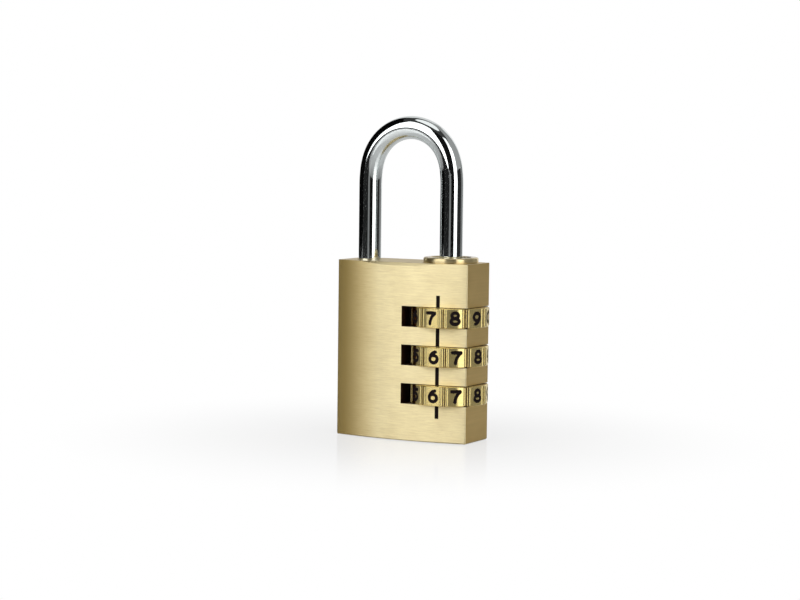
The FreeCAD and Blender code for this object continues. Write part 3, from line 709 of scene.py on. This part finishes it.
def lathe_place_group():
    """The place on a turned piece as its distance from the axis, its way round it and its height."""
    group, given, result = new_group(
        "lathe_place",
        [("Place", "Vector", None), ("Axis", "Vector", (0, 0, 0))],
        [("Turned", "Vector")])
    moved = add_node(group, "VectorMath", {0: given.outputs["Place"], 1: given.outputs["Axis"]},
                     operation="SUBTRACT")
    parts = add_node(group, "SeparateXYZ", {0: moved.outputs[0]})
    flat = add_node(group, "CombineXYZ", {"X": parts.outputs["X"], "Y": parts.outputs["Y"]})
    distance = add_node(group, "VectorMath", {0: flat.outputs[0]}, operation="LENGTH")
    angle = add_node(group, "Math", {0: parts.outputs["Y"], 1: parts.outputs["X"]},
                     operation="ARCTAN2")
    arc = add_node(group, "Math", {0: angle.outputs[0], 1: TURNED_ARC}, operation="MULTIPLY")
    turned = add_node(group, "CombineXYZ", {"X": distance.outputs["Value"], "Y": arc.outputs[0],
                                            "Z": parts.outputs["Z"]})
    group.links.new(turned.outputs[0], result.inputs["Turned"])
    return group


TOOL_LINES = tool_lines_group()
HANDLING = handling_group()
LATHE_PLACE = lathe_place_group()


def use_group(tree, group, **values):
    return add_node(tree, "Group", values, node_tree=group)


def between(tree, mask, low, high, from_low=0.3, from_high=0.7):
    """A number that follows a mask."""
    return add_node(tree, "MapRange", {"Value": mask, "From Min": from_low, "From Max": from_high,
                                       "To Min": low, "To Max": high}).outputs[0]


def tinted(tree, mask, first, second):
    """A colour that follows a mask from the first to the second. The first may be a socket."""
    if not isinstance(first, bpy.types.NodeSocket):
        first = (*first, 1)
    mix = add_node(tree, "Mix", {"Factor": mask, 6: first, 7: (*second, 1)}, data_type="RGBA")
    return mix.outputs[2]


def new_finish(name, metallic=1.0, **settings):
    """A material with its tree, its shader and the place on the piece."""
    material = bpy.data.materials.new(name)
    material.use_nodes = True
    tree = material.node_tree
    shader = tree.nodes["Principled BSDF"]
    shader.inputs["Metallic"].default_value = metallic
    for socket, value in settings.items():
        shader.inputs[socket.replace("_", " ")].default_value = value
    return material, tree, shader, tree.nodes.new("ShaderNodeTexCoord").outputs["Object"]


def raise_height(tree, shader, height, distance, strength=1.0):
    bump = add_node(tree, "Bump", {"Height": height, "Distance": distance, "Strength": strength})
    tree.links.new(bump.outputs[0], shader.inputs["Normal"])


def worked_brass(name, squeeze, spacing, colours, roughness, depth, lathe_axis=None, painted_edge_shade=None,
                 **settings):
    """Brass with tool lines. The lines and clouds run between the two colours, and between the two
    values of the roughness.

    The painted edge shade is a browner colour, standing in for the shade on the left edge where the
    crowned front turns away from the light, and the two places in X between which it fades to the
    right."""
    material, tree, shader, place = new_finish(name, **settings)
    if lathe_axis is not None:
        place = use_group(tree, LATHE_PLACE, Place=place, Axis=lathe_axis).outputs["Turned"]
    lines = use_group(tree, TOOL_LINES, Place=place, Squeeze=squeeze, Spacing=spacing)
    handled = use_group(tree, HANDLING, Place=place)
    both = add_node(tree, "Mix", {"Factor": CLOUD_SHARE, 2: lines.outputs["Streaks"],
                                  3: handled.outputs["Cloud"]})
    colour = tinted(tree, between(tree, both.outputs[0], 0, 1), *colours)
    # Painted shade: the colour turns browner towards the left edge.
    if painted_edge_shade is not None:
        shade_colour, fades_from, fades_to = painted_edge_shade
        across = add_node(tree, "SeparateXYZ", {0: place})
        shade_near_edge = between(tree, across.outputs["X"], 1, 0, fades_from, fades_to)
        colour = tinted(tree, shade_near_edge, colour, shade_colour)
    tree.links.new(colour, shader.inputs["Base Color"])
    tree.links.new(between(tree, both.outputs[0], *roughness), shader.inputs["Roughness"])
    raise_height(tree, shader, lines.outputs["Lines"], depth)
    return material


def brushed_brass():
    return worked_brass(
        "brushed_brass", squeeze=(0.08, 0.08, 1), spacing=16000.0,
        colours=((0.77, 0.64, 0.355), (0.97, 0.845, 0.50)), roughness=(0.46, 0.38),
        # The browner tint at the left edge is painted shade.
        depth=0.0007 * MM, painted_edge_shade=((0.68, 0.49, 0.16), -13 * MM, -4.5 * MM),
        Anisotropic=0.9, Anisotropic_Rotation=0.25, Coat_Weight=0.6, Coat_Roughness=0.3)


def milled_shaded_brass():
    # The colour, browner than the brushed front's, is painted shade for the shaded sides; the milled
    # lines and roughness are real.
    return worked_brass(
        "milled_shaded_brass", squeeze=(0.02, 0.02, 1), spacing=7000.0,
        colours=((0.79, 0.565, 0.20), (0.89, 0.635, 0.23)), roughness=(0.42, 0.36),
        depth=0.0005 * MM, Coat_Weight=0.3, Coat_Roughness=0.3)


def top_shaded_brass():
    # The colour, darker and duller than the front's, is painted shade on the top, which keeps the
    # top dim where it mirrors the open ceiling.
    return worked_brass(
        "top_shaded_brass", squeeze=(0.02, 1, 0.02), spacing=7000.0,
        colours=((0.70, 0.57, 0.33), (0.80, 0.66, 0.39)), roughness=(0.48, 0.40),
        depth=0.0004 * MM)


def faced_brass():
    """The finely faced top of the collar."""
    return worked_brass(
        "faced_brass", squeeze=(1, 1, 0.02), spacing=9000.0,
        colours=((0.84, 0.71, 0.48), (0.92, 0.79, 0.56)), roughness=(0.16, 0.10),
        depth=0.0002 * MM)


def turned_brass(name, axis):
    return worked_brass(
        name, squeeze=(1, 0.05, 1), spacing=8000.0,
        colours=((0.80, 0.65, 0.34), (0.92, 0.78, 0.46)), roughness=(0.36, 0.28),
        depth=0.0003 * MM, lathe_axis=axis, Anisotropic=0.9, Anisotropic_Rotation=0.25)


def dial_brass(axis):
    return worked_brass(
        "dial_brass", squeeze=(1, 0.05, 1), spacing=6000.0,
        colours=((0.84, 0.66, 0.25), (0.92, 0.75, 0.34)), roughness=(0.27, 0.22),
        depth=0.0002 * MM, lathe_axis=axis, Anisotropic=0.95, Anisotropic_Rotation=0.25)


def chrome_plate():
    """Bright chrome, with the faint waves of the polished bar under it and a few fine specks."""
    material, tree, shader, place = new_finish("chrome_plate")
    handled = use_group(tree, HANDLING, Place=place, Patches=500.0, Specks=7500.0)
    colour = tinted(tree, handled.outputs["Speck"], (0.865, 0.91, 0.905), (0.78, 0.82, 0.81))
    tree.links.new(colour, shader.inputs["Base Color"])
    polish = between(tree, handled.outputs["Cloud"], 0.03, 0.06)
    pitted = add_node(tree, "Math", {0: handled.outputs["Speck"], 1: 0.12, 2: polish},
                      operation="MULTIPLY_ADD")
    tree.links.new(pitted.outputs[0], shader.inputs["Roughness"])
    raise_height(tree, shader, handled.outputs["Cloud"], 0.004 * MM)
    return material


def spring_steel():
    material, tree, shader, place = new_finish("spring_steel")
    handled = use_group(tree, HANDLING, Place=place, Patches=900.0)
    colour = tinted(tree, handled.outputs["Cloud"], (0.42, 0.42, 0.44), (0.60, 0.60, 0.62))
    tree.links.new(colour, shader.inputs["Base Color"])
    tree.links.new(between(tree, handled.outputs["Cloud"], 0.35, 0.22), shader.inputs["Roughness"])
    return material


def black_paint():
    """The black fill of the digits and of the index groove."""
    material, tree, shader, place = new_finish("black_paint", metallic=0.0, Specular_IOR_Level=0.12)
    handled = use_group(tree, HANDLING, Place=place, Patches=1800.0, Specks=9000.0)
    colour = tinted(tree, handled.outputs["Cloud"], (0.006, 0.003, 0.003), (0.016, 0.008, 0.008))
    tree.links.new(colour, shader.inputs["Base Color"])
    tree.links.new(between(tree, handled.outputs["Cloud"], 0.55, 0.7), shader.inputs["Roughness"])
    raise_height(tree, shader, handled.outputs["Cloud"], 0.01 * MM)
    return material


def painted_slot_shade():
    """Painted shade: a dark brown for the sawn walls inside the slots and for the grooves between
    the dial's ribs, standing in for the shade that falls in these recesses.
    """
    material, tree, shader, place = new_finish("painted_slot_shade", metallic=0.8)
    lines = use_group(tree, TOOL_LINES, Place=place, Squeeze=(0.05, 0.05, 1), Spacing=5000.0)
    colour = tinted(tree, lines.outputs["Streaks"], (0.04, 0.016, 0.009), (0.12, 0.05, 0.03))
    tree.links.new(colour, shader.inputs["Base Color"])
    tree.links.new(between(tree, lines.outputs["Streaks"], 0.45, 0.6), shader.inputs["Roughness"])
    return material


paint = black_paint()
steel = spring_steel()
leg_axis = Vector((leg_x, 0, 0))
collar_brass = turned_brass("turned_brass", leg_axis)

# Painted shade for the slots and for the dial's grooves.
recess_shade = painted_slot_shade()
make_block(brushed_brass(), milled_shaded_brass(), top_shaded_brass(), recess_shade, paint)
make_collar_nut(collar_brass, faced_brass())
make_shackle(chrome_plate())
make_dials(dial_brass(leg_axis), recess_shade, paint)

for node, piece in frame["nodes"].items():
    piece.data.materials.clear()
    piece.data.materials.append(collar_brass if node.startswith(("hub", "spacer")) else steel)


# Floor, lights and camera.

CAMERA_AZIMUTH = math.radians(28.6)
CAMERA_ELEVATION = math.radians(4.35)
CAMERA_ROLL = math.radians(0.687)
CAMERA_DISTANCE = 448.9 * MM
CAMERA_TARGET = Vector((-3.075, 0, 28.03)) * MM
LENS = 98.1

# A round tent of lamps and cards stands about the lock. The white world shows between them.
TENT_RADIUS = 0.6
TENT_HEIGHT = 0.97
CEILING_REACH = 1.1
CARD_DROP = 0.01
# Heights that the low cards reach up to, in front and on the right.
FOOT = 0.09
RIGHT_FOOT = 0.16
# Watts that make one square metre of a lamp shine at a level of 1.
LAMP_POWER = 4.0
FILL_LEVEL = 0.75
# Name, the two azimuths from the camera's in degrees, the two heights, and the level.
SOFT_BOXES = (
    ("left_soft_box", -75, -25, FOOT, TENT_HEIGHT, 1.14),
    ("right_soft_box", 24, 53, 0, TENT_HEIGHT, 0.92),
)
CARDS = (
    ("front_card", -27, 24, FOOT, TENT_HEIGHT, 0.006),
    ("left_card", -160, -78, 0, TENT_HEIGHT, 0.002),
    ("left_foot_card", -78, -50, 0, FOOT, 0.015),
    ("front_foot_card", -50, -25, 0, FOOT, 0.012),
    ("foot_gap_card", -25, -8, 0, FOOT, 0.2),
    ("middle_foot_card", -8, 24, 0, FOOT, 0.004),
    ("right_card", 56, 142, RIGHT_FOOT, TENT_HEIGHT, 0.32),
    ("right_foot_card", 56, 104, 0, RIGHT_FOOT, 0.02),
    ("right_far_card", 104, 142, 0, RIGHT_FOOT, 0.2),
    ("back_card", 155, 200, 0, TENT_HEIGHT, 0.7),
)
FLOOR_RADIUS = 2.0
FLOOR_GAP = 0.1 * MM
FLOOR_COLOUR = 0.58
FLOOR_ROUGHNESS = 0.12
FLOOR_IOR = 1.7
# How far the shadow reaches from the lock, and how much of it shows there.
SHADOW_REACH = 0.08
SHADOW_SHARE = 0.35


def direction(azimuth, elevation=0.0):
    """The unit vector from the object, where azimuth 0 is the front and grows to the right side."""
    flat = math.cos(elevation)
    return Vector((math.sin(azimuth) * flat, -math.cos(azimuth) * flat, math.sin(elevation)))


def make_camera():
    lens = bpy.data.cameras.new("photo_camera")
    lens.lens = LENS
    camera = bpy.data.objects.new("photo_camera", lens)
    bpy.context.scene.collection.objects.link(camera)
    back = direction(CAMERA_AZIMUTH, CAMERA_ELEVATION)
    right = Vector((0, 0, 1)).cross(back).normalized()
    up = back.cross(right)
    rolled_right = right * math.cos(CAMERA_ROLL) + up * math.sin(CAMERA_ROLL)
    rolled_up = back.cross(rolled_right)
    turn = Matrix((rolled_right, rolled_up, back)).transposed().to_4x4()
    camera.matrix_world = Matrix.Translation(CAMERA_TARGET + back * CAMERA_DISTANCE) @ turn
    bpy.context.scene.camera = camera


def grey(level):
    return (level, level, level, 1)


def glow(name, level):
    """A material that shines evenly at a grey level."""
    material = bpy.data.materials.new(name)
    material.use_nodes = True
    tree = material.node_tree
    tree.nodes.clear()
    shine = add_node(tree, "Emission", {"Color": grey(level)})
    add_node(tree, "OutputMaterial", {"Surface": shine.outputs[0]})
    return material


def stand_round(piece, azimuth_from_view, low, high):
    """Stands a lamp or a card on the tent's wall, looking at the object."""
    azimuth = CAMERA_AZIMUTH + math.radians(azimuth_from_view)
    middle = direction(azimuth) * TENT_RADIUS + Vector((0, 0, (low + high) / 2))
    piece.matrix_world = (Matrix.Translation(middle) @ Matrix.Rotation(azimuth, 4, "Z")
                          @ Matrix.Rotation(math.pi / 2, 4, "X"))


def wall_width(from_azimuth, to_azimuth):
    return 2 * TENT_RADIUS * math.tan(math.radians(to_azimuth - from_azimuth) / 2)


def make_soft_box(name, from_azimuth, to_azimuth, low, high, level):
    """A tall lamp on the tent's wall, whose face shines at a level."""
    width = wall_width(from_azimuth, to_azimuth)
    lamp = bpy.data.lights.new(name, "AREA")
    lamp.shape = "RECTANGLE"
    lamp.size = width
    lamp.size_y = high - low
    lamp.energy = level * LAMP_POWER * width * (high - low)
    box = bpy.data.objects.new(name, lamp)
    bpy.context.scene.collection.objects.link(box)
    stand_round(box, (from_azimuth + to_azimuth) / 2, low, high)
    box.visible_camera = False


def hide_from_all_but_metal(card):
    card.visible_camera = False
    card.visible_diffuse = False
    card.visible_shadow = False


def make_card(name, from_azimuth, to_azimuth, low, high, level):
    """An upright card on the tent's wall, which only shows in the metal."""
    bpy.ops.object.select_all(action="DESELECT")
    bpy.ops.mesh.primitive_plane_add(size=1)
    card = bpy.context.active_object
    card.name = name
    card.data.transform(Matrix.Diagonal((wall_width(from_azimuth, to_azimuth), high - low, 1, 1)))
    stand_round(card, (from_azimuth + to_azimuth) / 2, low, high)
    card.data.materials.append(glow(name, level))
    hide_from_all_but_metal(card)


def make_ceiling(name, inner, outer, level):
    """A ring over the tent, open in the middle."""
    bpy.ops.object.select_all(action="DESELECT")
    bpy.ops.mesh.primitive_circle_add(vertices=48, radius=inner, location=(0, 0, TENT_HEIGHT))
    ring = name_new(name)
    bpy.ops.object.mode_set(mode="EDIT")
    bpy.ops.mesh.select_all(action="SELECT")
    bpy.ops.mesh.extrude_edges_move()
    share = outer / inner
    bpy.ops.transform.resize(value=(share, share, 1), center_override=(0, 0, TENT_HEIGHT))
    bpy.ops.object.mode_set(mode="OBJECT")
    ring.data.materials.append(glow(name, level))
    hide_from_all_but_metal(ring)


def make_overhead_card(name, azimuth_from_view, width, inner, outer, level):
    """A flat card under the ceiling, to one side of the object."""
    azimuth = CAMERA_AZIMUTH + math.radians(azimuth_from_view)
    bpy.ops.object.select_all(action="DESELECT")
    bpy.ops.mesh.primitive_plane_add(size=1, rotation=(0, 0, azimuth))
    card = bpy.context.active_object
    card.scale = (width, outer - inner, 1)
    height = TENT_HEIGHT - CARD_DROP
    card.location = direction(azimuth) * (inner + outer) / 2 + Vector((0, 0, height))
    card = name_new(name)
    card.data.materials.append(glow(name, level))
    hide_from_all_but_metal(card)


def light_path_mask(tree, outputs):
    """The largest of some Light Path outputs."""
    path = tree.nodes.new("ShaderNodeLightPath")
    socket = path.outputs[outputs[0]]
    for output in outputs[1:]:
        most = add_node(tree, "Math", {0: socket, 1: path.outputs[output]}, operation="MAXIMUM")
        socket = most.outputs[0]
    return socket


def make_world():
    """White behind the object and in the metal, and a soft grey light for the rest."""
    world = bpy.data.worlds.new("studio")
    bpy.context.scene.world = world
    world.use_nodes = True
    tree = world.node_tree
    tree.nodes.clear()
    white = add_node(tree, "Background", {"Color": grey(1)})
    fill = add_node(tree, "Background", {"Color": grey(FILL_LEVEL)})
    mask = light_path_mask(tree, ("Is Camera Ray", "Is Glossy Ray", "Is Transmission Ray"))
    mix = add_node(tree, "MixShader", {0: mask, 1: fill.outputs[0], 2: white.outputs[0]})
    add_node(tree, "OutputWorld", {"Surface": mix.outputs[0]})


def make_floor():
    """A pale floor that is white behind the object, keeps a soft shadow round its foot, and is
    pale grey in the metal."""
    bpy.ops.object.select_all(action="DESELECT")
    bpy.ops.mesh.primitive_circle_add(vertices=96, radius=FLOOR_RADIUS, fill_type="NGON",
                                      location=(0, 0, -FLOOR_GAP))
    floor = name_new("floor")
    material = bpy.data.materials.new("pale_floor")
    material.use_nodes = True
    tree = material.node_tree
    paper = fill_inputs(tree, tree.nodes["Principled BSDF"], {
        "Base Color": grey(FLOOR_COLOUR), "Roughness": FLOOR_ROUGHNESS, "IOR": FLOOR_IOR})
    white = add_node(tree, "Emission", {"Color": grey(1)})
    place = add_node(tree, "TexCoord")
    distance = add_node(tree, "VectorMath", {0: place.outputs["Object"]}, operation="LENGTH")
    near = add_node(
        tree, "MapRange",
        {"Value": distance.outputs["Value"], "From Min": SHADOW_REACH, "From Max": 0,
         "To Max": SHADOW_SHARE},
        interpolation_type="SMOOTHSTEP")
    away = add_node(tree, "Math", {0: 1, 1: near.outputs[0]}, operation="SUBTRACT")
    camera_ray = light_path_mask(tree, ("Is Camera Ray",))
    seen = add_node(tree, "Math", {0: away.outputs[0], 1: camera_ray}, operation="MULTIPLY")
    mix = add_node(tree, "MixShader",
                   {0: seen.outputs[0], 1: paper.outputs[0], 2: white.outputs[0]})
    fill_inputs(tree, tree.nodes["Material Output"], {"Surface": mix.outputs[0]})
    floor.data.materials.append(material)


make_camera()
make_world()
make_floor()
for lamp in SOFT_BOXES:
    make_soft_box(*lamp)
for card in CARDS:
    make_card(*card)
make_ceiling("ceiling", inner=0.31, outer=CEILING_REACH, level=0.04)
make_overhead_card("far_overhead_card", azimuth_from_view=130, width=1.3, inner=0.33,
                   outer=CEILING_REACH, level=0.3)

bpy.context.scene.view_settings.view_transform = "Standard"
